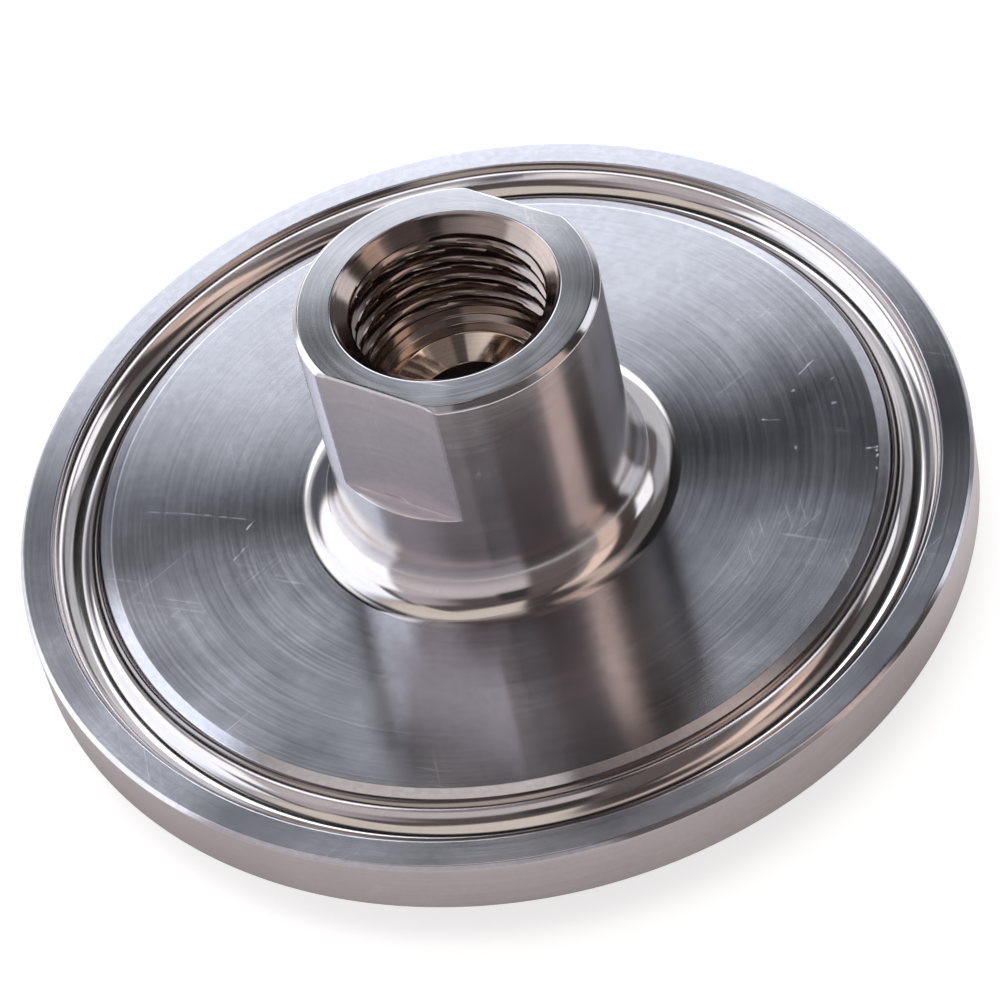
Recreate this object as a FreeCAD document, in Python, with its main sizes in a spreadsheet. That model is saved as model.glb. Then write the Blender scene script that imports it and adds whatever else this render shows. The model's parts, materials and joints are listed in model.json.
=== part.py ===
import FreeCAD, Part
import math
import os
import Sketcher

# Sanitary clamp flare adapter, turned from one bar of stainless steel.
# A clamp disc carries a gasket groove in its top face. A hub with two spanner flats stands on the
# same face, and a stepped bore runs through both: thread, shoulder, 45 degree flare seat, flow bore.
# Origin: centre of the flat back. +Z runs up the hub, and the flats face -Y and +Y. Millimetres.

SIZES = [
    ("clampDia", 50.5, "outer diameter of the clamp disc"),
    ("edgeHeight", 3.35, "height of the disc's straight edge"),
    ("bevelAngle", 20.0, "slope of the clamp bevel on the back, degrees"),
    ("plateHeight", 6.35, "back face to gasket face"),
    ("grooveOuterDia", 47.1, "outer wall of the gasket groove"),
    ("grooveInnerDia", 41.9, "inner wall of the gasket groove"),
    ("grooveDepth", 1.35, "gasket face to the groove's floor"),
    ("landDia", 40.6, "where the plate starts to fall towards the groove"),
    ("landDrop", 0.15, "fall of that land at the groove's inner wall"),
    ("hubDia", 15.7, "hub over its round sides"),
    ("hubHeight", 14.0, "gasket face to the hub's end"),
    ("rootRadius", 2.0, "fillet between hub and plate"),
    ("flatsAcross", 14.0, "spanner size over the two flats"),
    ("flatsHeight", 8.25, "length of the flats, down from the hub's end"),
    ("drillDia", 9.9, "thread bore, tapping size for 7/16-20"),
    ("mouthDia", 11.7, "45 degree countersink at the hub's end"),
    ("boreDepth", 6.9, "hub's end to the shoulder round the seat"),
    ("cornerBreak", 0.3, "45 degree corner between thread bore and shoulder"),
    ("seatDia", 7.9, "wide end of the flare seat"),
    ("seatAngle", 45.0, "slope of the flare seat, degrees"),
    ("flowDia", 5.7, "flow bore"),
    ("edgeBreak", 0.2, "break on the disc's two outer edges"),
    ("hubBreak", 0.3, "chamfer on the hub's end"),
    ("backBreak", 0.4, "chamfer on the flow bore's mouth in the back"),
    ("toolOverrun", 1.0, "how far a cutting profile runs past the metal"),
]

NODE = "adapter_body"

doc = FreeCAD.newDocument("ClampFlareAdapter")


# Driving dimensions

sheet = doc.addObject("Spreadsheet::Sheet", "Sizes")
sheet.set("A1", "size")
sheet.set("B1", "value")
sheet.set("C1", "meaning")
for row, (alias, value, meaning) in enumerate(SIZES, start=2):
    sheet.set(f"A{row}", alias)
    sheet.set(f"B{row}", str(value))
    sheet.set(f"C{row}", meaning)
    sheet.setAlias(f"B{row}", alias)
doc.recompute()

CLAMP_RADIUS = "Sizes.clampDia / 2"
PLATE_TOP = "Sizes.plateHeight"
EDGE_FOOT = "Sizes.plateHeight - Sizes.edgeHeight"
BACK_RADIUS = f"{CLAMP_RADIUS} - ({EDGE_FOOT}) / tan(Sizes.bevelAngle * 1 deg)"
RIM_RADIUS = f"{CLAMP_RADIUS} - Sizes.edgeBreak"
BEVEL_END = f"{EDGE_FOOT} - Sizes.edgeBreak * tan(Sizes.bevelAngle * 1 deg)"
HUB_RADIUS = "Sizes.hubDia / 2"
HUB_TOP = "Sizes.plateHeight + Sizes.hubHeight"
LAND_RADIUS = "Sizes.landDia / 2"
GROOVE_INNER = "Sizes.grooveInnerDia / 2"
GROOVE_OUTER = "Sizes.grooveOuterDia / 2"
GROOVE_ROUND = "(Sizes.grooveOuterDia - Sizes.grooveInnerDia) / 4"
GROOVE_CENTRE_Z = f"{PLATE_TOP} - Sizes.grooveDepth + {GROOVE_ROUND}"
DRILL_RADIUS = "Sizes.drillDia / 2"
MOUTH_RADIUS = "Sizes.mouthDia / 2"
SHOULDER_Z = f"{HUB_TOP} - Sizes.boreDepth"
SEAT_RADIUS = "Sizes.seatDia / 2"
FLOW_RADIUS = "Sizes.flowDia / 2"
SEAT_FOOT_Z = f"{SHOULDER_Z} - ({SEAT_RADIUS} - {FLOW_RADIUS}) * tan(Sizes.seatAngle * 1 deg)"


# Helpers for sketches and features

def valueOf(expression):
    # number that an expression in the sheet's terms gives now
    result = sheet.evalExpression(expression)
    return float(getattr(result, "Value", result))


def originPlane(body, role):
    for feature in body.Origin.OriginFeatures:
        if feature.Role == role:
            return feature
    raise RuntimeError(f"no origin plane {role}")


def newSketch(body, name, role):
    sketch = body.newObject("Sketcher::SketchObject", name)
    sketch.AttachmentSupport = [(originPlane(body, role), "")]
    sketch.MapMode = "FlatFace"
    return sketch


def addSize(sketch, constraint, name, expression):
    index = sketch.addConstraint(constraint)
    sketch.renameConstraint(index, name)
    sketch.setExpression(f"Constraints.{name}", expression)


def pinPoint(sketch, name, geometry, end, across, up):
    # ties one sketch point to the sheet; None keeps it on the sketch's own axis
    if across is None:
        sketch.addConstraint(Sketcher.Constraint("PointOnObject", geometry, end, -2))
    else:
        distance = Sketcher.Constraint("DistanceX", -1, 1, geometry, end, valueOf(across))
        addSize(sketch, distance, f"{name}Across", across)
    if up is None:
        sketch.addConstraint(Sketcher.Constraint("PointOnObject", geometry, end, -1))
    elif up:
        distance = Sketcher.Constraint("DistanceY", -1, 1, geometry, end, valueOf(up))
        addSize(sketch, distance, f"{name}Up", up)


def drawOutline(sketch, corners):
    # closed outline of straight lines through named corners, each tied to the sheet
    points = []
    for name, across, up in corners:
        x = 0.0 if across is None else valueOf(across)
        y = 0.0 if up is None else valueOf(up)
        points.append(FreeCAD.Vector(x, y, 0))
    count = len(points)
    for index in range(count):
        sketch.addGeometry(Part.LineSegment(points[index], points[(index + 1) % count]))
    for index in range(count):
        sketch.addConstraint(Sketcher.Constraint("Coincident", index, 2, (index + 1) % count, 1))
    for index, (name, across, up) in enumerate(corners):
        pinPoint(sketch, name, index, 1, across, up)


def turnedFeature(body, kind, name, sketch):
    # full turn of a sketch about the part's axis, added or cut
    feature = body.newObject(kind, name)
    feature.Profile = sketch
    feature.ReferenceAxis = (sketch, ["V_Axis"])
    feature.Angle = 360
    doc.recompute()
    return feature


def roundEdges(shape, rings):
    # names of the full circles about the part's axis with the given radius and height
    found = []
    for radius, height in rings:
        wantedRadius = valueOf(radius)
        wantedHeight = valueOf(height)
        for index, edge in enumerate(shape.Edges, start=1):
            if not isinstance(edge.Curve, Part.Circle):
                continue
            onAxis = math.hypot(edge.Curve.Center.x, edge.Curve.Center.y) < 0.001
            sameRadius = abs(edge.Curve.Radius - wantedRadius) < 0.001
            sameHeight = abs(edge.Curve.Center.z - wantedHeight) < 0.001
            if onAxis and sameRadius and sameHeight:
                found.append(f"Edge{index}")
    if len(found) != len(rings):
        raise RuntimeError(f"expected {len(rings)} edges and found {found}")
    return found


def dressEdges(body, kind, name, sizeProperty, size, rings):
    # fillet or chamfer on rings of the body's present tip
    base = body.Tip
    feature = body.newObject(kind, name)
    feature.Base = (base, roundEdges(base.Shape, rings))
    feature.setExpression(sizeProperty, size)
    doc.recompute()
    return feature


def checkCut(name, before, after):
    # a cut that points away from the metal changes nothing, so the volumes are compared
    print(f"{name}: {before:.1f} mm3 to {after:.1f} mm3")
    if not 0 < after < before:
        raise RuntimeError(f"{name} removed nothing")


# Turned blank: bevelled back, straight edge, gasket face and hub

body = doc.addObject("PartDesign::Body", NODE)
body.Label = NODE

blankSketch = newSketch(body, "BlankProfile", "XZ_Plane")
drawOutline(blankSketch, [
    ("axisFoot", None, None),
    ("backEdge", BACK_RADIUS, None),
    ("bevelEnd", RIM_RADIUS, BEVEL_END),
    ("edgeFoot", CLAMP_RADIUS, f"{EDGE_FOOT} + Sizes.edgeBreak"),
    ("edgeTop", CLAMP_RADIUS, f"{PLATE_TOP} - Sizes.edgeBreak"),
    ("rimEdge", RIM_RADIUS, PLATE_TOP),
    ("hubFoot", HUB_RADIUS, PLATE_TOP),
    ("hubEnd", HUB_RADIUS, HUB_TOP),
    ("axisEnd", None, HUB_TOP),
])
blank = turnedFeature(body, "PartDesign::Revolution", "Blank", blankSketch)

dressEdges(body, "PartDesign::Fillet", "RootFillet", "Radius", "Sizes.rootRadius",
           [(HUB_RADIUS, PLATE_TOP)])
dressEdges(body, "PartDesign::Chamfer", "HubEndBreak", "Size", "Sizes.hubBreak",
           [(HUB_RADIUS, HUB_TOP)])


# Gasket groove: a sloping land, a straight inner wall, a round floor and a sharp outer edge

grooveSketch = newSketch(body, "GrooveProfile", "XZ_Plane")
landEnd = FreeCAD.Vector(valueOf(GROOVE_INNER), valueOf(f"{PLATE_TOP} - Sizes.landDrop"), 0)
innerFoot = FreeCAD.Vector(valueOf(GROOVE_INNER), valueOf(GROOVE_CENTRE_Z), 0)
outerFoot = FreeCAD.Vector(valueOf(GROOVE_OUTER), valueOf(GROOVE_CENTRE_Z), 0)
outerTop = FreeCAD.Vector(valueOf(GROOVE_OUTER), valueOf(f"{PLATE_TOP} + Sizes.toolOverrun"), 0)
landTop = FreeCAD.Vector(valueOf(LAND_RADIUS), valueOf(f"{PLATE_TOP} + Sizes.toolOverrun"), 0)
landStart = FreeCAD.Vector(valueOf(LAND_RADIUS), valueOf(PLATE_TOP), 0)
floorRound = valueOf(GROOVE_ROUND)
floorCentre = (innerFoot + outerFoot) / 2
grooveSketch.addGeometry(Part.LineSegment(landStart, landEnd))
grooveSketch.addGeometry(Part.LineSegment(landEnd, innerFoot))
grooveSketch.addGeometry(Part.LineSegment(outerFoot, outerTop))
grooveSketch.addGeometry(Part.LineSegment(outerTop, landTop))
grooveSketch.addGeometry(Part.LineSegment(landTop, landStart))
floorCircle = Part.Circle(floorCentre, FreeCAD.Vector(0, 0, 1), floorRound)
grooveSketch.addGeometry(Part.ArcOfCircle(floorCircle, math.pi, 2 * math.pi))
for first, firstEnd, second, secondEnd in (
        (0, 2, 1, 1), (1, 2, 5, 1), (5, 2, 2, 1), (2, 2, 3, 1), (3, 2, 4, 1), (4, 2, 0, 1)):
    grooveSketch.addConstraint(Sketcher.Constraint("Coincident", first, firstEnd, second, secondEnd))
pinPoint(grooveSketch, "landStart", 0, 1, LAND_RADIUS, PLATE_TOP)
pinPoint(grooveSketch, "landEnd", 1, 1, GROOVE_INNER, f"{PLATE_TOP} - Sizes.landDrop")
pinPoint(grooveSketch, "innerFoot", 5, 1, GROOVE_INNER, GROOVE_CENTRE_Z)
pinPoint(grooveSketch, "outerFoot", 2, 1, GROOVE_OUTER, GROOVE_CENTRE_Z)
pinPoint(grooveSketch, "outerTop", 3, 1, GROOVE_OUTER, f"{PLATE_TOP} + Sizes.toolOverrun")
pinPoint(grooveSketch, "landTop", 4, 1, LAND_RADIUS, f"{PLATE_TOP} + Sizes.toolOverrun")
addSize(grooveSketch, Sketcher.Constraint("DistanceY", -1, 1, 5, 3, valueOf(GROOVE_CENTRE_Z)),
        "floorCentreUp", GROOVE_CENTRE_Z)
beforeGroove = body.Tip.Shape.Volume
gasketGroove = turnedFeature(body, "PartDesign::Groove", "GasketGroove", grooveSketch)
checkCut("GasketGroove", beforeGroove, gasketGroove.Shape.Volume)


# Stepped bore: countersunk mouth, thread bore, shoulder, flare seat and flow bore

boreSketch = newSketch(body, "BoreProfile", "XZ_Plane")
drawOutline(boreSketch, [
    ("axisFoot", None, None),
    ("flowFoot", FLOW_RADIUS, None),
    ("seatFoot", FLOW_RADIUS, SEAT_FOOT_Z),
    ("seatTop", SEAT_RADIUS, SHOULDER_Z),
    ("shoulder", DRILL_RADIUS, SHOULDER_Z),
    ("mouthFoot", DRILL_RADIUS, f"{HUB_TOP} - ({MOUTH_RADIUS} - {DRILL_RADIUS})"),
    ("mouthTop", f"{MOUTH_RADIUS} + Sizes.toolOverrun", f"{HUB_TOP} + Sizes.toolOverrun"),
    ("axisEnd", None, f"{HUB_TOP} + Sizes.toolOverrun"),
])
beforeBore = body.Tip.Shape.Volume
flareBore = turnedFeature(body, "PartDesign::Groove", "FlareBore", boreSketch)
checkCut("FlareBore", beforeBore, flareBore.Shape.Volume)

dressEdges(body, "PartDesign::Chamfer", "BoreCorner", "Size", "Sizes.cornerBreak",
           [(DRILL_RADIUS, SHOULDER_Z)])
dressEdges(body, "PartDesign::Chamfer", "FlowBoreBreak", "Size", "Sizes.backBreak",
           [(FLOW_RADIUS, "0")])


# Spanner flats: one milled from the hub's end, and its mirror image

flatSketch = newSketch(body, "FlatProfile", "XY_Plane")
flatSketch.setExpression(".AttachmentOffset.Base.z", HUB_TOP)
halfWidth = valueOf(HUB_RADIUS)
nearSide = valueOf("Sizes.flatsAcross / 2")
farSide = valueOf(f"{HUB_RADIUS} + Sizes.toolOverrun")
flatCorners = [
    FreeCAD.Vector(-halfWidth, nearSide, 0),
    FreeCAD.Vector(halfWidth, nearSide, 0),
    FreeCAD.Vector(halfWidth, farSide, 0),
    FreeCAD.Vector(-halfWidth, farSide, 0),
]
for index in range(4):
    flatSketch.addGeometry(Part.LineSegment(flatCorners[index], flatCorners[(index + 1) % 4]))
for index in range(4):
    flatSketch.addConstraint(Sketcher.Constraint("Coincident", index, 2, (index + 1) % 4, 1))
flatSketch.addConstraint(Sketcher.Constraint("Symmetric", 0, 1, 0, 2, -2))
flatSketch.addConstraint(Sketcher.Constraint("Vertical", 1))
flatSketch.addConstraint(Sketcher.Constraint("Vertical", 3))
flatSketch.addConstraint(Sketcher.Constraint("Horizontal", 2))
addSize(flatSketch, Sketcher.Constraint("DistanceX", 0, 1, 0, 2, 2 * halfWidth),
        "flatWidth", "Sizes.hubDia")
addSize(flatSketch, Sketcher.Constraint("DistanceY", -1, 1, 0, 2, nearSide),
        "flatFromAxis", "Sizes.flatsAcross / 2")
addSize(flatSketch, Sketcher.Constraint("DistanceY", -1, 1, 2, 1, farSide),
        "flatCutEnd", f"{HUB_RADIUS} + Sizes.toolOverrun")
doc.recompute()

beforeFlat = body.Tip.Shape.Volume
flat = body.newObject("PartDesign::Pocket", "SpannerFlat")
flat.Profile = flatSketch
flat.setExpression("Length", "Sizes.flatsHeight")
doc.recompute()
checkCut("SpannerFlat", beforeFlat, flat.Shape.Volume)

flatPair = body.newObject("PartDesign::Mirrored", "SpannerFlatPair")
flatPair.Originals = [flat]
flatPair.MirrorPlane = (originPlane(body, "XZ_Plane"), [""])
body.Tip = flatPair
doc.recompute()
checkCut("SpannerFlatPair", flat.Shape.Volume, flatPair.Shape.Volume)


# Checks and export

for item in doc.Objects:
    if "Invalid" in item.State or "Error" in item.State:
        raise RuntimeError(f"{item.Name} failed: {item.State}")

shape = body.Shape
if shape.isNull() or not shape.isValid() or len(shape.Solids) != 1:
    raise RuntimeError(f"{NODE} is not one valid solid")

os.makedirs("parts", exist_ok=True)
shape.exportStep(f"parts/{NODE}.step")
bounds = shape.optimalBoundingBox(False)
print(f"{NODE}: {shape.Volume:.1f} mm3, {len(shape.Faces)} faces")
print(f"x {bounds.XMin:.3f} to {bounds.XMax:.3f}, y {bounds.YMin:.3f} to {bounds.YMax:.3f}, "
      f"z {bounds.ZMin:.3f} to {bounds.ZMax:.3f}")
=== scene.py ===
import json
import math
import bpy
import numpy as np
from mathutils import Matrix, Vector

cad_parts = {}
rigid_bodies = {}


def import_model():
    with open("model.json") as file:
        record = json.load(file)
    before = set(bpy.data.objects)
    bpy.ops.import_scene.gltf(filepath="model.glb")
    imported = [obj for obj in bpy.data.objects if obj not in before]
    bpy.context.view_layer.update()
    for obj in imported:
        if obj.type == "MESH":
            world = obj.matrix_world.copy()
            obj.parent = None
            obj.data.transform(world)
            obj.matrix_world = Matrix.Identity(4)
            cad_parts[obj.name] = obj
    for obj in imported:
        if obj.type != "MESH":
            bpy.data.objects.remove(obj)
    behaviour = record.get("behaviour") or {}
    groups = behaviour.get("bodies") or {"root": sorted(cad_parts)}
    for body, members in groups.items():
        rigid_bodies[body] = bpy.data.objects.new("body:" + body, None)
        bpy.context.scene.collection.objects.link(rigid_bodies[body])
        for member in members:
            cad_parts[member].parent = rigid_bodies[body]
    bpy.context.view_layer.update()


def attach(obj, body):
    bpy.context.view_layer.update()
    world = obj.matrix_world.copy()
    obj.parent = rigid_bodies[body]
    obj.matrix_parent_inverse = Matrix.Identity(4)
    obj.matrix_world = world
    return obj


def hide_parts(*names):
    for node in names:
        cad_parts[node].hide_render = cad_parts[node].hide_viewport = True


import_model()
mm = 0.001
scene = bpy.context.scene


# Node helpers: what they are given is a plain value or another node's socket

def newNode(tree, kind, inputs=None, **settings):
    node = tree.nodes.new(kind)
    for name, value in settings.items():
        setattr(node, name, value)
    for name, value in (inputs or {}).items():
        if isinstance(value, bpy.types.NodeSocket):
            tree.links.new(value, node.inputs[name])
        else:
            node.inputs[name].default_value = value
    return node


def calc(tree, operation, *values, clamp=False):
    return newNode(tree, "ShaderNodeMath", dict(enumerate(values)), operation=operation,
                   use_clamp=clamp).outputs[0]


def vectorCalc(tree, operation, *values, scale=None):
    inputs = dict(enumerate(values))
    if scale is not None:
        inputs["Scale"] = scale
    node = newNode(tree, "ShaderNodeVectorMath", inputs, operation=operation)
    return node.outputs["Value" if operation in ("DOT_PRODUCT", "DISTANCE", "LENGTH") else "Vector"]


def ramp(tree, value, start, end, low=0.0, high=1.0, smooth=False):
    # low at the start, high at the end, level past both
    return newNode(tree, "ShaderNodeMapRange", {
        "Value": value, "From Min": start, "From Max": end, "To Min": low, "To Max": high},
        interpolation_type="SMOOTHSTEP" if smooth else "LINEAR").outputs[0]


def noise(tree, place, scale=1.0, detail=0.0, roughness=0.5, dimensions="3D"):
    return newNode(tree, "ShaderNodeTexNoise", {
        "Vector": place, "Scale": scale, "Detail": detail, "Roughness": roughness},
        noise_dimensions=dimensions).outputs[0]


def split(tree, vector):
    return newNode(tree, "ShaderNodeSeparateXYZ", {"Vector": vector}).outputs


def join(tree, x=0.0, y=0.0, z=0.0):
    return newNode(tree, "ShaderNodeCombineXYZ", {"X": x, "Y": y, "Z": z}).outputs[0]


# Turned body: one outline spun round the bore, with the flats and the thread cut by the node tree

# millimetres, from the flat back up, as in the part's own sizes
bodySizes = {
    "clampRadius": 25.25,
    "edgeFoot": 3.0,
    "backRadius": 17.0,
    "bevelAngle": 20,            # degrees
    "plateTop": 6.35,
    "grooveOuter": 23.55,
    "grooveInner": 20.95,
    "grooveDepth": 1.35,
    "landRadius": 20.3,
    "landDrop": 0.15,
    "hubRadius": 7.85,
    "hubTop": 20.35,
    "rootRadius": 2.2,
    "flatDistance": 7.0,
    "flatsFoot": 12.1,
    "boreRadius": 4.95,
    "mouthRadius": 5.85,
    "shoulderHeight": 13.45,
    "cornerBreak": 0.3,
    "seatRadius": 3.95,
    "flowRadius": 2.85,
    "edgeBreak": 0.2,
    "hubBreak": 0.3,
    "backBreak": 0.4,
    "flatEdgeRounding": 0.06,
    "threadPitch": 1.27,
    "threadRoot": 5.53,
    "threadCrest": 0.11,         # half the crest's width and the root's start, in pitches from mid-crest
    "threadRootStart": 0.42,
    "threadFadeFoot": 14.4,      # height where the cut has faded out
    "threadFadeHeight": 0.6,
    "threadStart": 19.65,        # height where the cut begins, below the mouth
    "threadStartFade": 0.45,
    "threadEdgeRounding": 0.04,
    "threadRowHeight": 0.08,
    "runSupport": 0.04,          # rows this near both ends of a straight run keep its corners crisp
    "wallSupport": 0.05,
    "wallReach": 1.2,            # rows this far from the foot and from the flats even out the long wall
    "wallSteps": 6,              # steps from the flats' foot to the top
    "endCut": 1.2,               # the end face's first row goes a little further in than the flat
    "columns": 320,
    "edgeColumns": (-0.7, -0.35, 0, 0.35, 0.7),   # columns beside a flat's edge, in steps of the even ones
    "edgeClear": 0.9,            # even columns this near to the edge are left out
    "sharpAngle": 38,            # degrees; a fold past this stays a crisp edge
}

# rows at the flats' foot: height from it, and share of the flats' cut
ledgeRows = [(-0.1, 0), (-0.05, 0), (-0.018, 0.015), (0, 0.06), (0, 0.5), (0, 0.94), (0.012, 0.985),
             (0.05, 1), (0.1, 1)]

# the node tree's sizes, and where they come from
sizeInputs = {
    "Flat distance": "flatDistance",
    "Flat edge rounding": "flatEdgeRounding",
    "Hub top": "hubTop",
    "Bore radius": "boreRadius",
    "Thread root radius": "threadRoot",
    "Thread pitch": "threadPitch",
    "Thread fade foot": "threadFadeFoot",
    "Thread fade height": "threadFadeHeight",
    "Thread start": "threadStart",
    "Thread start fade": "threadStartFade",
    "Thread edge rounding": "threadEdgeRounding",
}

# the outline's zones; the flats are one more, which the cut itself marks
regions = ["back", "side", "rim", "groove", "plate", "foot", "hub", "top", "bore", "seat", "flow"]


def outlineCorners(s):
    # corners of the half section: radius, height, rounding, arc steps, region and rows of the run that follows;
    # a seventh word names the region of the arc's first half, where it isn't that of the run before it
    grooveRound = (s["grooveOuter"] - s["grooveInner"]) / 2
    grooveFloor = s["plateTop"] - s["grooveDepth"]
    seatFoot = s["shoulderHeight"] - (s["seatRadius"] - s["flowRadius"])
    bevelRise = s["edgeBreak"] * math.tan(math.radians(s["bevelAngle"]))
    rim = s["clampRadius"] - s["edgeBreak"]
    return [
        (s["flowRadius"] + s["backBreak"], 0.0, 0.05, 2, "back", 5),
        (s["backRadius"], 0.0, 0.3, 3, "back", 3),
        (rim, s["edgeFoot"] - bevelRise, 0.05, 2, "side", 0),
        (s["clampRadius"], s["edgeFoot"] + s["edgeBreak"], 0.08, 2, "side", 3),
        (s["clampRadius"], s["plateTop"] - s["edgeBreak"], 0.08, 3, "rim", 0),
        (rim, s["plateTop"], 0.08, 3, "rim", 4),
        (s["grooveOuter"], s["plateTop"], 0.06, 3, "groove", 0),
        (s["grooveOuter"], grooveFloor, grooveRound, 14, "groove", 0),
        (s["grooveInner"], grooveFloor, grooveRound, 14, "groove", 0),
        (s["grooveInner"], s["plateTop"] - s["landDrop"], 0.1, 3, "plate", 1),
        (s["landRadius"], s["plateTop"], 0.25, 3, "plate", 12),
        (s["hubRadius"], s["plateTop"], s["rootRadius"], 14, "hub", "flats", "foot"),
        (s["hubRadius"], s["hubTop"] - s["hubBreak"], 0.08, 2, "top", 0),
        (s["hubRadius"] - s["hubBreak"], s["hubTop"], 0.08, 3, "top", 0),
        (s["mouthRadius"], s["hubTop"], 0.06, 3, "bore", "thread"),
        (s["boreRadius"], s["shoulderHeight"] + s["cornerBreak"], 0.05, 2, "bore", 0),
        (s["boreRadius"] - s["cornerBreak"], s["shoulderHeight"], 0.08, 2, "seat", 1),
        (s["seatRadius"], s["shoulderHeight"], 0.05, 3, "seat", 5),
        (s["flowRadius"], seatFoot, 0.05, 3, "flow", 8),
        (s["flowRadius"], s["backBreak"], 0.05, 2, "back", 0),
    ]


def roundedCorner(before, corner, after, rounding, steps):
    # points of the arc that rounds one corner of the outline
    toBefore = (before - corner).normalized()
    toAfter = (after - corner).normalized()
    half = toBefore.angle(toAfter) / 2
    reach = rounding / math.tan(half)
    centre = corner + (toBefore + toAfter).normalized() * (rounding / math.sin(half))
    first = corner + toBefore * reach - centre
    last = corner + toAfter * reach - centre
    turn = math.atan2(first.x * last.y - first.y * last.x, first.dot(last))
    arc = []
    for step in range(steps + 1):
        a = turn * step / steps
        arc.append(centre + Vector((first.x * math.cos(a) - first.y * math.sin(a),
                                    first.x * math.sin(a) + first.y * math.cos(a))))
    return arc


def wallRows(s, start, finish):
    # heights up the hub's side, and the share of the flats' cut
    foot = s["flatsFoot"]
    rows = [(start + s["wallSupport"], 0), (start + s["wallReach"], 0), (foot - s["wallReach"], 0)]
    rows += [(foot + offset, share) for offset, share in ledgeRows]
    rows += [(foot + (finish - foot) * step / s["wallSteps"], 1) for step in range(1, s["wallSteps"])]
    return rows + [(finish - s["wallSupport"], 1)]


def threadRows(s, start, finish):
    # radii and heights down the mouth and the thread; the tree cuts the turns into them
    count = round((start - finish) / s["threadRowHeight"])
    heights = [start + (finish - start) * step / count for step in range(1, count)]
    return [(max(s["boreRadius"], s["mouthRadius"] - (s["hubTop"] - height)), height) for height in heights]


def flatCut(s, point):
    # the flats take their full cut from every row above their foot and outside their distance
    return 1 if point.y > s["flatsFoot"] and point.x > s["flatDistance"] else 0


def outlineRows(s):
    # the closed half section as rows of radius, height, region, flat share, thread share
    corners = outlineCorners(s)
    places = [Vector(corner[:2]) for corner in corners]
    count = len(corners)
    arcs = [roundedCorner(places[i - 1], places[i], places[(i + 1) % count], corners[i][2], corners[i][3])
            for i in range(count)]
    support = s["runSupport"]
    rows = []
    for i, corner in enumerate(corners):
        word, run = corner[4], corner[5]
        region = regions.index(word)
        before = regions.index(corner[6] if len(corner) > 6 else corners[i - 1][4])
        cut = flatCut(s, arcs[i][0])
        for step, point in enumerate(arcs[i]):
            rows.append((point.x, point.y, region if 2 * step >= len(arcs[i]) - 1 else before, cut, 0))
        start = arcs[i][-1]
        finish = arcs[(i + 1) % count][0]
        length = (finish - start).length
        if run == "flats":
            rows += [(s["hubRadius"], height, region, share, 0)
                     for height, share in wallRows(s, start.y, finish.y)]
        elif run == "thread":
            rows += [(radius, height, region, 0, 1)
                     for radius, height in threadRows(s, start.y, finish.y)]
        elif length > 4 * support:
            along = (finish - start).normalized()
            cut = flatCut(s, start)
            if cut and word == "top" and abs(along.y) < 0.1:     # the level end face, not its broken edge
                cut = s["endCut"]
            for reach in [support, *(length * k / (run + 1) for k in range(1, run + 1)), length - support]:
                point = start + along * reach
                rows.append((point.x, point.y, region, cut, 0))
    return rows


def columnAngles(s):
    # even columns, with closer ones where a flat meets the round side
    edge = math.asin(s["flatDistance"] / s["hubRadius"])
    step = 2 * math.pi / s["columns"]
    edges = [edge, math.pi - edge, math.pi + edge, 2 * math.pi - edge]
    angles = [step * k for k in range(s["columns"] + 1)]
    angles = [a for a in angles if all(abs(a - e) > s["edgeClear"] * step for e in edges)]
    angles += [e + step * offset for e in edges for offset in s["edgeColumns"]]
    return sorted(angles)


def unrolledBlank(name, s):
    # flat grid whose x is the angle, y the radius and z the height
    rows = outlineRows(s)
    rows.append(rows[0])
    angles = columnAngles(s)
    wide = len(angles)
    points = [(angle, row[0] * mm, row[1] * mm) for row in rows for angle in angles]
    faces = []
    faceRegions = []
    for i in range(len(rows) - 1):
        for corner in range(i * wide, i * wide + wide - 1):
            faces.append((corner, corner + 1, corner + wide + 1, corner + wide))
            faceRegions.append(rows[i][2])
    mesh = bpy.data.meshes.new(name)
    mesh.from_pydata(points, [], faces)
    for word, column in (("flatShare", 3), ("threadShare", 4)):
        shares = mesh.attributes.new(word, "FLOAT", "POINT")
        shares.data.foreach_set("value", np.repeat([float(row[column]) for row in rows], wide))
    mesh.attributes.new("region", "INT", "FACE").data.foreach_set("value", faceRegions)
    print(f"blank: {len(rows)} rows, {wide} columns, {2 * len(faces)} triangles before merging")
    return mesh


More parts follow.
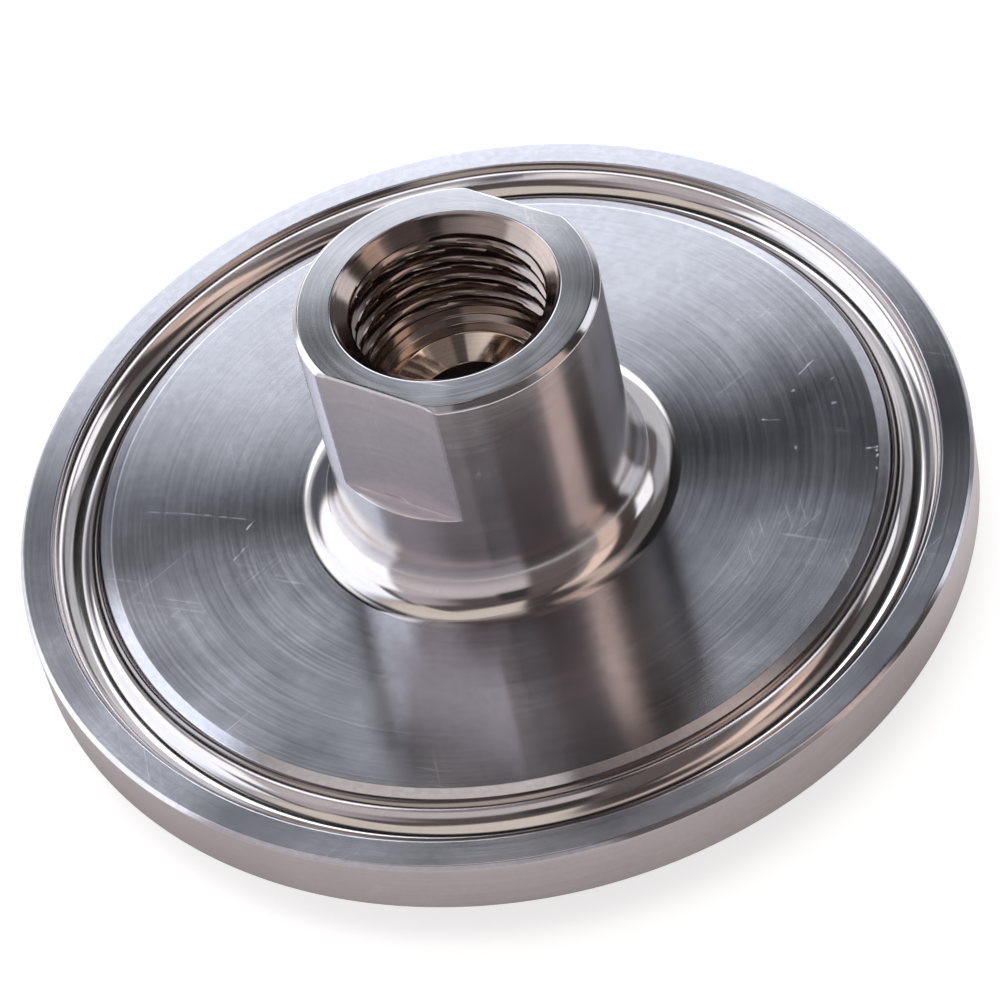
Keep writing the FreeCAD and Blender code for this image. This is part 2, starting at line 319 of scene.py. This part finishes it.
def turningTree(s, looks):
    # wraps the blank round the axis, cuts thread and flats, merges it and gives each region its finish
    tree = bpy.data.node_groups.new("turnedBody", "GeometryNodeTree")
    sockets = tree.interface
    sockets.new_socket("Geometry", in_out="OUTPUT", socket_type="NodeSocketGeometry")
    sockets.new_socket("Geometry", in_out="INPUT", socket_type="NodeSocketGeometry")
    for name in sizeInputs:
        sockets.new_socket(name, in_out="INPUT", socket_type="NodeSocketFloat")
    for name in looks:
        sockets.new_socket(name, in_out="INPUT", socket_type="NodeSocketMaterial")
    given = tree.nodes.new("NodeGroupInput").outputs
    angle, radius, height = split(tree, tree.nodes.new("GeometryNodeInputPosition").outputs[0])

    def named(kind, name):
        return newNode(tree, "GeometryNodeInputNamedAttribute", {"Name": name}, data_type=kind).outputs[0]

    # thread: a rounded V that climbs one pitch in each turn and fades out above the shoulder
    climb = calc(tree, "SUBTRACT", calc(tree, "DIVIDE", height, given["Thread pitch"]),
                 calc(tree, "DIVIDE", angle, 2 * math.pi))
    fromCrest = calc(tree, "ABSOLUTE", calc(tree, "SUBTRACT", calc(tree, "FRACT", climb), 0.5))
    vee = ramp(tree, fromCrest, s["threadCrest"], s["threadRootStart"], smooth=True)
    fade = ramp(tree, calc(tree, "SUBTRACT", height, given["Thread fade foot"]),
                0.0, given["Thread fade height"], smooth=True)
    begin = ramp(tree, calc(tree, "SUBTRACT", given["Thread start"], height),
                 0.0, given["Thread start fade"], smooth=True)
    depth = calc(tree, "SUBTRACT", given["Thread root radius"], given["Bore radius"])
    cut = calc(tree, "MULTIPLY_ADD", calc(tree, "MULTIPLY", vee, calc(tree, "MULTIPLY", fade, begin)), depth,
               given["Bore radius"])
    turned = calc(tree, "SMOOTH_MAX", radius, cut, given["Thread edge rounding"])
    radius = newNode(tree, "ShaderNodeMix", {
        "Factor": named("FLOAT", "threadShare"), "A": radius, "B": turned}).outputs[0]

    # flats: what stands past the flat's plane comes off, by the row's share, with a quarter round at the top
    rounding = given["Flat edge rounding"]
    leastLean = 0.05             # keeps the plane's distance finite beside the flats
    lean = calc(tree, "MAXIMUM", calc(tree, "ABSOLUTE", calc(tree, "SINE", angle)), leastLean)
    intoRound = calc(tree, "MAXIMUM", calc(tree, "SUBTRACT", height, calc(
        tree, "SUBTRACT", given["Hub top"], rounding)), 0.0)
    inset = calc(tree, "SUBTRACT", rounding, calc(tree, "SQRT", calc(tree, "MAXIMUM", calc(
        tree, "SUBTRACT", calc(tree, "MULTIPLY", rounding, rounding),
        calc(tree, "MULTIPLY", intoRound, intoRound)), 0.0)))
    plane = calc(tree, "DIVIDE", calc(tree, "SUBTRACT", given["Flat distance"], inset), lean)
    spare = calc(tree, "SMOOTH_MAX", calc(tree, "SUBTRACT", radius, plane), 0.0, rounding)
    share = named("FLOAT", "flatShare")
    radius = calc(tree, "SUBTRACT", radius, calc(tree, "MULTIPLY", spare, share))
    leastShare = 0.04            # rows with less of the cut keep the wall's finish
    milled = calc(tree, "MULTIPLY", calc(tree, "GREATER_THAN", spare, rounding),
                  calc(tree, "GREATER_THAN", share, leastShare))

    wrapped = join(tree, calc(tree, "MULTIPLY", radius, calc(tree, "COSINE", angle)),
                   calc(tree, "MULTIPLY", radius, calc(tree, "SINE", angle)), height)
    keep = newNode(tree, "GeometryNodeStoreNamedAttribute", {
        "Geometry": given["Geometry"], "Name": "milled", "Value": milled}, data_type="FLOAT", domain="POINT")
    spun = newNode(tree, "GeometryNodeSetPosition", {"Geometry": keep.outputs[0], "Position": wrapped})
    merged = newNode(tree, "GeometryNodeMergeByDistance", {"Geometry": spun.outputs[0], "Distance": 0.001 * mm})
    smooth = newNode(tree, "GeometryNodeSetShadeSmooth", {"Geometry": merged.outputs[0]})
    fold = tree.nodes.new("GeometryNodeInputMeshEdgeAngle").outputs["Unsigned Angle"]
    crisp = newNode(tree, "GeometryNodeSetShadeSmooth", {
        "Geometry": smooth.outputs[0], "Shade Smooth": False,
        "Selection": calc(tree, "GREATER_THAN", fold, math.radians(s["sharpAngle"]))}, domain="EDGE")
    current = newNode(tree, "GeometryNodeRealizeInstances", {"Geometry": crisp.outputs[0]}).outputs[0]

    # the milled finish lies on the upright flats and on the ledge below them, but not on the end face
    facing = split(tree, tree.nodes.new("GeometryNodeInputNormal").outputs[0])
    level = split(tree, tree.nodes.new("GeometryNodeInputPosition").outputs[0])
    leastUpright = 0.6           # the normal's part along Y
    upright = calc(tree, "GREATER_THAN", calc(tree, "ABSOLUTE", facing[1]), leastUpright)
    belowEnd = calc(tree, "LESS_THAN", level[2], calc(tree, "SUBTRACT", given["Hub top"], mm))
    onFlats = calc(tree, "MULTIPLY", calc(tree, "GREATER_THAN", named("FLOAT", "milled"), 0.5),
                   calc(tree, "MAXIMUM", upright, belowEnd))
    region = named("INT", "region")
    for name, look in looks.items():
        chosen = None
        for word in look["on"]:
            inRegion = onFlats if word == "flats" else newNode(
                tree, "FunctionNodeCompare", {2: region, 3: regions.index(word)},
                data_type="INT", operation="EQUAL").outputs[0]
            chosen = inRegion if chosen is None else calc(tree, "MAXIMUM", chosen, inRegion)
        current = newNode(tree, "GeometryNodeSetMaterial", {
            "Geometry": current, "Selection": chosen, "Material": given[name]}).outputs[0]
    newNode(tree, "NodeGroupOutput", {0: current})
    return tree


def setInput(modifier, name, value):
    for item in modifier.node_group.interface.items_tree:
        if item.name == name and item.in_out == "INPUT":
            modifier[item.identifier] = value
            return
    raise RuntimeError(f"no input named {name}")


def buildBody(s, looks, materials):
    blank = bpy.data.objects.new("blank", unrolledBlank("blank", s))
    scene.collection.objects.link(blank)
    modifier = blank.modifiers.new("turned", "NODES")
    modifier.node_group = turningTree(s, looks)
    for name, size in sizeInputs.items():
        setInput(modifier, name, s[size] * mm)
    for name, material in materials.items():
        setInput(modifier, name, material)
    bpy.context.view_layer.update()
    evaluated = blank.evaluated_get(bpy.context.evaluated_depsgraph_get())
    mesh = bpy.data.meshes.new_from_object(evaluated)
    mesh.name = "clamp_flare_adapter"
    piece = bpy.data.objects.new("clamp_flare_adapter", mesh)
    scene.collection.objects.link(piece)
    bpy.data.objects.remove(blank)
    return piece


# Steel finishes

# scratches, nicks and specks that the part has picked up: two ends in millimetres, half width, and how much the
# steel is lighter there, or darker where it is below zero; the plate's ends are x and y, a flat's are x and z
plateMarks = [
    ((-16.5, -9.0), (-14.2, -8.2), 0.07, 0.6),
    ((-14.2, -8.2), (-10.9, -7.3), 0.07, 0.7),
    ((-10.4, -7.9), (-10.4, -7.2), 0.05, 1.3),
    ((-9.9, -10.0), (-9.8, -8.8), 0.05, 0.5),
    ((-14.9, -11.7), (-14.3, -10.2), 2.2, -0.2),
    ((11.4, 9.0), (12.2, 9.35), 0.06, 0.9),
    ((11.9, 11.45), (11.95, 11.5), 0.12, 1.4),
    ((13.9, 8.0), (13.95, 7.9), 0.1, 1.2),
    ((17.4, 9.25), (17.9, 9.6), 0.09, 1.6),
    ((17.92, 9.4), (17.95, 9.3), 0.09, 1.5),
    ((18.12, 9.05), (18.15, 8.95), 0.09, 1.5),
    ((18.48, 8.28), (18.51, 8.2), 0.09, 1.2),
    ((11.7, 12.6), (11.95, 13.9), 0.06, 0.6),
    ((13.35, 12.5), (13.5, 13.1), 0.06, 0.6),
    ((14.3, 11.4), (14.4, 11.5), 0.1, 0.8),
    ((12.6, 11.0), (13.1, 12.6), 0.9, -0.15),
]
nearFlatMarks = [
    ((0.05, 12.3), (0.35, 12.1), 0.1, 0.9),
    ((-1.0, 12.3), (-0.3, 12.25), 0.06, -0.35),
    ((-3.05, 15.5), (-2.85, 15.1), 0.05, 0.3),
    ((-0.45, 18.0), (-0.3, 17.2), 0.05, 0.25),
]
farFlatMarks = [
    ((1.1, 14.2), (1.5, 13.4), 0.05, 0.3),
]


def marksAt(marks, y=None, z=None):
    # gives both ends of each mark the coordinate that one surface's marks share
    placed = []
    for first, last, halfWidth, gain in marks:
        ends = [Vector((end[0], end[1] if y is None else y, end[1] if z is None else z))
                for end in (first, last)]
        placed.append((*ends, halfWidth, gain))
    return placed


# "on" names the regions that have the finish; "lines" is how many turning lines lie in a millimetre, and
# "lineRoughness" and "lineColour" how much they show; "waveHeight" is the relief in millimetres of the slower
# waves among them; "smudge" is the change of roughness over a few millimetres, "speckle" that of colour over
# tenths of one; "hairlines" is how strongly fine scratches show; "hubShade" is painted shade near the hub
plainSteel = {"anisotropy": 0.0, "lines": 6.0, "hairlines": 0.2, "hubShade": 1.0, "marks": ()}
finishLooks = {
    "Turned finish": {
        **plainSteel, "name": "turned_steel", "on": ("rim", "plate"), "colour": (0.54, 0.545, 0.595),
        "roughness": 0.15, "anisotropy": 1.0, "lines": 6.5, "waveHeight": 0.0003, "lineRoughness": 0.03,
        "lineColour": 0.09, "smudge": 0.03, "speckle": 0.14, "hubShade": 0.76,
        "marks": marksAt(plateMarks, z=bodySizes["plateTop"])},
    "End finish": {
        **plainSteel, "name": "faced_steel", "on": ("top",), "colour": (0.5, 0.505, 0.53),
        "roughness": 0.11, "anisotropy": 0.9, "lines": 7.0, "waveHeight": 0.0002, "lineRoughness": 0.03,
        "lineColour": 0.07, "smudge": 0.06, "speckle": 0.05},
    "Wall finish": {
        **plainSteel, "name": "turned_wall_steel", "on": ("hub",), "colour": (0.66, 0.635, 0.64),
        "roughness": 0.15, "anisotropy": 0.9, "lines": 7.0, "waveHeight": 0.0002, "lineRoughness": 0.03,
        "lineColour": 0.08, "smudge": 0.05, "speckle": 0.05},
    "Polished finish": {
        **plainSteel, "name": "polished_steel", "on": ("groove", "foot"), "colour": (0.59, 0.565, 0.565),
        "roughness": 0.1, "lines": 5.0, "waveHeight": 0.0002, "lineRoughness": 0.03,
        "lineColour": 0.12, "smudge": 0.04, "speckle": 0.05},
    # the satin colour is darker and pinker than bare steel: painted shade and reflection of the shaded floor
    # beside the part
    "Satin finish and shade": {
        **plainSteel, "name": "satin_steel_painted_shade", "on": ("side", "back"), "colour": (0.42, 0.375, 0.38),
        "roughness": 0.34, "waveHeight": 0.0008, "lineRoughness": 0.06,
        "lineColour": 0.1, "smudge": 0.05, "speckle": 0.06},
    # the thread's colour is darker and browner than bare steel: painted shade inside the bore
    "Thread finish and shade": {
        **plainSteel, "name": "thread_steel_painted_shade", "on": ("bore",), "colour": (0.33, 0.28, 0.26),
        "roughness": 0.14, "waveHeight": 0.0004, "lineRoughness": 0.06,
        "lineColour": 0.22, "smudge": 0.06, "speckle": 0.1, "hairlines": 0.0},
    # the seat's colour is lighter and warmer than bare steel: painted highlight for the bronze and cream
    # reflections on the cone
    "Seat finish and highlight": {
        **plainSteel, "name": "seat_steel_painted_highlight", "on": ("seat",), "colour": (0.82, 0.73, 0.62),
        "roughness": 0.08, "waveHeight": 0.0004, "lineRoughness": 0.04,
        "lineColour": 0.15, "smudge": 0.03, "speckle": 0.08, "hairlines": 0.0},
    # the flow bore's colour is near black: painted shade down the narrow hole
    "Flow bore finish and shade": {
        **plainSteel, "name": "drilled_steel_painted_shade", "on": ("flow",), "colour": (0.22, 0.2, 0.19),
        "roughness": 0.3, "waveHeight": 0.0008, "lineRoughness": 0.08,
        "lineColour": 0.2, "smudge": 0.05, "speckle": 0.1, "hairlines": 0.0},
    "Milled finish": {
        **plainSteel, "name": "milled_steel", "on": ("flats",), "colour": (0.63, 0.6, 0.62),
        "roughness": 0.36, "lines": 4.0, "waveHeight": 0.0006, "lineRoughness": 0.06,
        "lineColour": 0.06, "smudge": 0.08, "speckle": 0.08, "hairlines": 0.6,
        "marks": marksAt(nearFlatMarks, y=-bodySizes["flatDistance"])
        + marksAt(farFlatMarks, y=bodySizes["flatDistance"])},
}

# what the finishes share; scales are for places in millimetres
steelPatterns = {
    "detail": 2.0,
    "lineTurn": 1.1,             # how much the turning lines change on the way round
    "waveStretch": 0.4,          # waves for each turning line
    "smudgeScale": 0.22,
    "smudgeColour": 0.08,
    "speckleScale": 2.6,
    "speckleRoughness": 0.65,
    "hubShadeStart": 9.5,         # radii between which the painted shade near the hub fades out
    "hubShadeEnd": 14.5,
    "hairlineTurns": ((12, 3.0), (74, 11.0), (131, 19.0)),   # directions in degrees, and shifts in the noise
    "hairlineStretch": (0.2, 13.0),                          # along a scratch and across it
    "hairlineRange": (0.74, 0.82),                           # of the noise, from no scratch to a full one
    "hairlineColour": 0.35,
    "hairlineRoughness": 0.2,
    "wornRange": (0.5, 0.62),    # of the smudges, between which fine scratches begin to show
    "markBend": 0.2,             # how far the speckle bends the marks, and where it breaks the light ones up
    "markBreakRange": (0.38, 0.6),
    "markBreakLeast": 0.15,
    "markCore": 0.3,             # share of a mark's half width with its full strength
    "markColour": 0.6,
    "markRoughness": 0.12,
    "leastRoughness": 0.03,
}


def markShare(tree, place, first, last, halfWidth):
    # 1 on the line between the two ends, 0 past its half width
    run = last - first
    offset = vectorCalc(tree, "SUBTRACT", place, first)
    along = vectorCalc(tree, "DOT_PRODUCT", offset, run / run.length_squared)
    reached = vectorCalc(tree, "SCALE", run, scale=calc(tree, "ADD", along, 0.0, clamp=True))
    away = vectorCalc(tree, "DISTANCE", offset, reached)
    return ramp(tree, away, halfWidth, steelPatterns["markCore"] * halfWidth, smooth=True)


def markTotals(tree, place, speckle, marks):
    # light and dark marks; the speckle makes their edges ragged and breaks the light ones up
    p = steelPatterns
    shift = vectorCalc(tree, "SCALE", (p["markBend"], -p["markBend"], 0.0),
                       scale=calc(tree, "SUBTRACT", speckle, 0.5))
    ragged = vectorCalc(tree, "ADD", place, shift)
    broken = ramp(tree, speckle, *p["markBreakRange"], low=p["markBreakLeast"])
    totals = {}
    for first, last, halfWidth, gain in marks:
        share = calc(tree, "MULTIPLY", markShare(tree, ragged, first, last, halfWidth), abs(gain))
        kind = "light" if gain > 0 else "dark"
        totals[kind] = share if kind not in totals else calc(tree, "MAXIMUM", totals[kind], share)
    return calc(tree, "MULTIPLY", totals["light"], broken), totals["dark"]


def spread(tree, value, share, middle=1.0):
    # a 0 to 1 noise as a change by up to the share, each way from the middle
    return calc(tree, "MULTIPLY_ADD", calc(tree, "SUBTRACT", value, 0.5), 2 * share, middle)


def hairlineMask(tree, x, y, z, turn, shift):
    # sparse straight scratches in one direction
    p = steelPatterns
    c, s = math.cos(math.radians(turn)), math.sin(math.radians(turn))
    along = calc(tree, "ADD", calc(tree, "MULTIPLY", x, c), calc(tree, "MULTIPLY", y, s))
    across = calc(tree, "SUBTRACT", calc(tree, "MULTIPLY", y, c), calc(tree, "MULTIPLY", x, s))
    grain = noise(tree, join(tree, calc(tree, "MULTIPLY", along, p["hairlineStretch"][0]),
                             calc(tree, "MULTIPLY", across, p["hairlineStretch"][1]),
                             calc(tree, "ADD", z, shift)))
    return ramp(tree, grain, *p["hairlineRange"])


def steelMaterial(look):
    p = steelPatterns
    material = bpy.data.materials.new(look["name"])
    material.use_nodes = True
    tree = material.node_tree
    shader = tree.nodes["Principled BSDF"]
    shader.inputs["Metallic"].default_value = 1
    shader.inputs["Anisotropic"].default_value = look["anisotropy"]
    if look["anisotropy"] > 0:
        shader.inputs["Anisotropic Rotation"].default_value = 0.25     # glints fan out across the lines
        tangent = newNode(tree, "ShaderNodeTangent", direction_type="RADIAL", axis="Z")
        tree.links.new(tangent.outputs[0], shader.inputs["Tangent"])
    place = vectorCalc(tree, "SCALE", tree.nodes.new("ShaderNodeTexCoord").outputs["Object"], scale=1 / mm)
    x, y, z = split(tree, place)
    radius = calc(tree, "SQRT", calc(tree, "ADD", calc(tree, "MULTIPLY", x, x), calc(tree, "MULTIPLY", y, y)))

    # turning lines change fast along the section and slowly round the axis
    section = calc(tree, "MULTIPLY", calc(tree, "ADD", radius, z), look["lines"])
    aroundX, aroundY = (calc(tree, "DIVIDE", calc(tree, "MULTIPLY", v, p["lineTurn"]), radius) for v in (x, y))
    lines = noise(tree, join(tree, section, aroundX, aroundY), detail=p["detail"])
    waves = noise(tree, join(tree, calc(tree, "MULTIPLY", section, p["waveStretch"])), dimensions="2D")
    smudge = noise(tree, place, p["smudgeScale"], p["detail"])
    speckle = noise(tree, place, p["speckleScale"], p["detail"], p["speckleRoughness"])

    # painted shade: the plate's steel is darker close to the hub's foot
    hubShade = ramp(tree, radius, p["hubShadeStart"], p["hubShadeEnd"], look["hubShade"])
    shade = spread(tree, lines, look["lineColour"])
    for factor in (spread(tree, smudge, p["smudgeColour"]), spread(tree, speckle, look["speckle"]), hubShade):
        shade = calc(tree, "MULTIPLY", shade, factor)
    rough = spread(tree, lines, look["lineRoughness"], look["roughness"])
    rough = spread(tree, smudge, look["smudge"], rough)
    if look["hairlines"] > 0:
        scratches = None
        for turn, shift in p["hairlineTurns"]:
            mask = hairlineMask(tree, x, y, z, turn, shift)
            scratches = mask if scratches is None else calc(tree, "MAXIMUM", scratches, mask)
        scratches = calc(tree, "MULTIPLY", scratches, ramp(tree, smudge, *p["wornRange"]))
        shade = calc(tree, "MULTIPLY", shade, calc(
            tree, "MULTIPLY_ADD", scratches, p["hairlineColour"] * look["hairlines"], 1.0))
        rough = calc(tree, "MULTIPLY_ADD", scratches, p["hairlineRoughness"] * look["hairlines"], rough)
    if look["marks"]:
        light, dark = markTotals(tree, place, speckle, look["marks"])
        shade = calc(tree, "MULTIPLY", shade, calc(
            tree, "SUBTRACT", calc(tree, "MULTIPLY_ADD", light, p["markColour"], 1.0), dark))
        rough = calc(tree, "MULTIPLY_ADD", light, p["markRoughness"], rough)
    tree.links.new(vectorCalc(tree, "SCALE", look["colour"], scale=shade), shader.inputs["Base Color"])
    tree.links.new(calc(tree, "MAXIMUM", rough, p["leastRoughness"]), shader.inputs["Roughness"])
    bump = newNode(tree, "ShaderNodeBump", {
        "Height": calc(tree, "MULTIPLY", waves, look["waveHeight"]), "Strength": 1.0, "Distance": mm})
    tree.links.new(bump.outputs[0], shader.inputs["Normal"])
    return material


steels = {finish: steelMaterial(look) for finish, look in finishLooks.items()}
print("steel finishes:", len(steels))

adapter = buildBody(bodySizes, finishLooks, steels)
print(f"body: {len(adapter.data.vertices)} vertices, {len(adapter.data.polygons)} faces")
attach(adapter, "root")
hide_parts("adapter_body")


# Floor

# metres; the shares are of the white that is added where the camera or the steel sees the floor
floorLook = {
    "size": 6.0,
    "colour": (0.42, 0.41, 0.41),
    "roughness": 0.9,
    "backgroundShare": 0.72,
    "closeShare": 0.2,           # painted shade: the steel sees less of it close to the object and far away
    "closeStart": 0.026,
    "closeEnd": 0.034,
    "farStart": 0.07,
    "farEnd": 0.35,
    "farShare": 0.25,
    "glowDirection": (0.87, 0.5, 0.0),   # and all of it past this side, which is painted light
    "glowStart": 0.0235,
    "glowEnd": 0.028,
}


def buildFloor(look):
    half = look["size"] / 2
    mesh = bpy.data.meshes.new("floor")
    mesh.from_pydata([(-half, -half, 0), (half, -half, 0), (half, half, 0), (-half, half, 0)], [],
                     [(0, 1, 2, 3)])
    material = bpy.data.materials.new("floor_white")
    material.use_nodes = True
    tree = material.node_tree
    shader = tree.nodes["Principled BSDF"]
    shader.inputs["Base Color"].default_value = (*look["colour"], 1)
    shader.inputs["Roughness"].default_value = look["roughness"]
    shader.inputs["Emission Color"].default_value = (1, 1, 1, 1)
    path = tree.nodes.new("ShaderNodeLightPath").outputs
    place = tree.nodes.new("ShaderNodeTexCoord").outputs["Object"]
    away = vectorCalc(tree, "LENGTH", place)
    # painted shade and light in the floor that the steel mirrors: less white near the object and far off, all
    # of it on the glow side
    close = ramp(tree, away, look["closeStart"], look["closeEnd"], low=look["closeShare"])
    beside = vectorCalc(tree, "DOT_PRODUCT", place, look["glowDirection"])
    close = calc(tree, "MAXIMUM", close, ramp(tree, beside, look["glowStart"], look["glowEnd"]))
    far = ramp(tree, away, look["farStart"], look["farEnd"], 1.0, look["farShare"])
    mirrored = calc(tree, "MAXIMUM", path["Is Glossy Ray"], path["Is Transmission Ray"])
    seen = calc(tree, "MAXIMUM", path["Is Camera Ray"],
                calc(tree, "MULTIPLY", mirrored, calc(tree, "MULTIPLY", close, far)))
    tree.links.new(calc(tree, "MULTIPLY", seen, look["backgroundShare"]), shader.inputs["Emission Strength"])
    mesh.materials.append(material)
    floor = bpy.data.objects.new("floor", mesh)
    scene.collection.objects.link(floor)


buildFloor(floorLook)
print("floor built")


# Studio: soft panels far away, as fixed parts of the world

# "centre" is the direction round the object (0 is -Y, 90 is +X) and "half" its half width; "low" and "high"
# are heights above the horizon; all in degrees, with edges blurred over "soft", or "sideSoft" at the sides.
# Later ones cover earlier ones.
studioPanels = {
    "ceiling": {"centre": -47, "half": 93, "low": 60, "high": 120, "soft": 3,
                "colour": (0.92, 0.83, 0.75)},
    "ceilingCorner": {"centre": 64, "half": 18, "low": 45, "high": 120, "soft": 3,
                      "colour": (0.07, 0.06, 0.06)},
    "ceilingShade": {"centre": 150, "half": 68, "low": 76, "high": 120, "soft": 3,
                     "colour": (0.07, 0.06, 0.06)},
    "overheadStrip": {"centre": 150, "half": 66, "low": 66, "high": 74, "soft": 2,
                      "colour": (0.8, 0.63, 0.54)},
    "frontTop": {"centre": 12, "half": 58, "low": 40, "high": 73, "soft": 3,
                 "colour": (0.14, 0.12, 0.12)},
    "frontCorner": {"centre": -50, "half": 32, "low": 40, "high": 60, "soft": 3, "sideSoft": 20,
                    "colour": (0.6, 0.54, 0.58)},
    "frontWall": {"centre": 8, "half": 52, "low": -90, "high": 44, "soft": 5, "sideSoft": 13,
                  "colour": (0.74, 0.68, 0.7)},
    "frontLow": {"centre": 8, "half": 54, "low": -90, "high": 12, "soft": 14,
                 "colour": (0.4, 0.37, 0.39)},
    "cameraShade": {"centre": 44, "half": 18, "low": 41, "high": 62, "soft": 3,
                    "colour": (0.06, 0.055, 0.055)},
    "rightRoom": {"centre": 66, "half": 18, "low": -90, "high": 62, "soft": 4,
                  "colour": (0.17, 0.14, 0.14)},
    "bronzeUpper": {"centre": 104, "half": 10, "low": 36, "high": 68, "soft": 3,
                    "colour": (1.25, 0.95, 0.82)},
    "bronzeStrip": {"centre": 106, "half": 8, "low": -90, "high": 40, "soft": 2,
                    "colour": (0.9, 0.68, 0.57)},
    "darkDoor": {"centre": 129, "half": 12, "low": -90, "high": 62, "soft": 2,
                 "colour": (0.08, 0.065, 0.06)},
    "darkWall": {"centre": 162, "half": 22, "low": -90, "high": 62, "soft": 3,
                 "colour": (0.18, 0.17, 0.17)},
    "backEdge": {"centre": 168, "half": 12, "low": 20, "high": 44, "soft": 3,
                 "colour": (0.55, 0.56, 0.6)},
    "backPane": {"centre": 143, "half": 10, "low": 10, "high": 35, "soft": 2,
                 "colour": (1.6, 1.6, 1.65)},
    "backWall": {"centre": -148, "half": 34, "low": -90, "high": 44, "soft": 3,
                 "colour": (0.8, 0.81, 0.85)},
    "backShade": {"centre": -142, "half": 34, "low": 42, "high": 62, "soft": 3,
                  "colour": (0.02, 0.02, 0.02)},
    "backLamp": {"centre": -141, "half": 15.5, "low": 28, "high": 42.5, "soft": 3,
                 "colour": (3.55, 3.65, 3.85)},
    "windowReveal": {"centre": -112, "half": 13, "low": 43, "high": 54, "soft": 3,
                     "colour": (1.9, 1.9, 1.98)},
    "cornerShade": {"centre": -110, "half": 8, "low": -90, "high": 38, "soft": 3,
                    "colour": (0.14, 0.15, 0.18)},
    "windowTop": {"centre": -84, "half": 26, "low": 40, "high": 57, "soft": 3,
                  "colour": (1.62, 1.72, 1.9)},
    "windowLeft": {"centre": -70, "half": 29, "low": -90, "high": 42, "soft": 3,
                   "colour": (1.7, 1.7, 1.75)},
    "windowCore": {"centre": -80, "half": 16, "low": -8, "high": 32, "soft": 4,
                   "colour": (2.1, 2.1, 2.15)},
    "windowPost": {"centre": -54, "half": 4, "low": 44, "high": 62, "soft": 2,
                   "colour": (0.1, 0.1, 0.1)},
}

studioBase = {"colour": (0.3, 0.27, 0.26)}


def panelMask(tree, heading, elevation, panel):
    # 1 inside the panel, 0 outside; a panel that reaches straight up or down has no edge there
    centre = math.radians(panel["centre"])
    facing = vectorCalc(tree, "DOT_PRODUCT", heading, (math.sin(centre), -math.cos(centre), 0.0))
    soft = panel["soft"]
    sideSoft = panel.get("sideSoft", soft)
    mask = ramp(tree, facing, math.cos(math.radians(panel["half"] + sideSoft)),
                math.cos(math.radians(max(panel["half"] - sideSoft, 0))), smooth=True)
    if panel["low"] > -90:
        mask = calc(tree, "MULTIPLY", mask, ramp(
            tree, elevation, panel["low"] - soft, panel["low"] + soft, smooth=True))
    if panel["high"] < 90 + soft:
        mask = calc(tree, "MULTIPLY", mask, ramp(
            tree, elevation, panel["high"] + soft, panel["high"] - soft, smooth=True))
    return mask


def buildWorld(panels, base):
    world = bpy.data.worlds.new("studio")
    scene.world = world
    world.use_nodes = True
    tree = world.node_tree
    x, y, z = split(tree, tree.nodes.new("ShaderNodeTexCoord").outputs["Generated"])
    heading = vectorCalc(tree, "NORMALIZE", join(tree, x, y))
    elevation = calc(tree, "DEGREES", calc(tree, "ARCSINE", z))
    colour = (*base["colour"], 1)
    for panel in panels.values():
        # 6 and 7 are the colours that the node mixes, and output 2 is the mixed one
        colour = newNode(tree, "ShaderNodeMix", {
            "Factor": panelMask(tree, heading, elevation, panel), 6: colour, 7: (*panel["colour"], 1)},
            data_type="RGBA", clamp_result=False).outputs[2]
    seen = newNode(tree, "ShaderNodeMix", {
        "Factor": tree.nodes.new("ShaderNodeLightPath").outputs["Is Camera Ray"], 6: colour, 7: (1, 1, 1, 1)},
        data_type="RGBA").outputs[2]
    background = tree.nodes["Background"]
    tree.links.new(seen, background.inputs["Color"])
    background.inputs["Strength"].default_value = 1.0
    world.cycles.sampling_method = "NONE"     # the panels are large and even, so rays find them by themselves


buildWorld(studioPanels, studioBase)
print("studio:", len(studioPanels), "panels")


# Soft light from above: it lights the floor and isn't mirrored in the steel

fillLamp = {"height": 1.2, "size": 1.2, "watts": 9.0}


def buildFill(look):
    data = bpy.data.lights.new("fill", "AREA")
    data.shape = "DISK"
    data.size = look["size"]
    data.energy = look["watts"]
    lamp = bpy.data.objects.new("fill", data)
    lamp.location = (0, 0, look["height"])
    lamp.visible_glossy = False
    lamp.visible_camera = False
    scene.collection.objects.link(lamp)


buildFill(fillLamp)
print("lamp built")


# Camera

# degrees and millimetres, apart from the clip range in metres
cameraView = {
    "azimuth": 40.50,
    "elevation": 47.345,
    "roll": -14.017,
    "distance": 234.05,
    "aim": (1.17, -1.05, 6.35),
    "lens": 161.84,
    "sensorWidth": 36,
    "clipStart": 0.01,
    "clipEnd": 20,
}


def placeCamera(view):
    azimuth = math.radians(view["azimuth"])
    elevation = math.radians(view["elevation"])
    back = Vector((math.sin(azimuth) * math.cos(elevation), -math.cos(azimuth) * math.cos(elevation),
                   math.sin(elevation)))
    data = bpy.data.cameras.new("camera")
    data.lens = view["lens"]
    data.sensor_width = view["sensorWidth"]
    data.clip_start = view["clipStart"]
    data.clip_end = view["clipEnd"]
    camera = bpy.data.objects.new("camera", data)
    scene.collection.objects.link(camera)
    camera.rotation_mode = "QUATERNION"
    camera.location = (Vector(view["aim"]) + back * view["distance"]) * mm
    turn = (-back).to_track_quat("-Z", "Y").to_matrix()
    roll = Matrix.Rotation(math.radians(view["roll"]), 3, "Z")
    camera.rotation_quaternion = (turn @ roll).to_quaternion()
    scene.camera = camera


placeCamera(cameraView)
scene.view_settings.view_transform = "Standard"
print("camera placed")
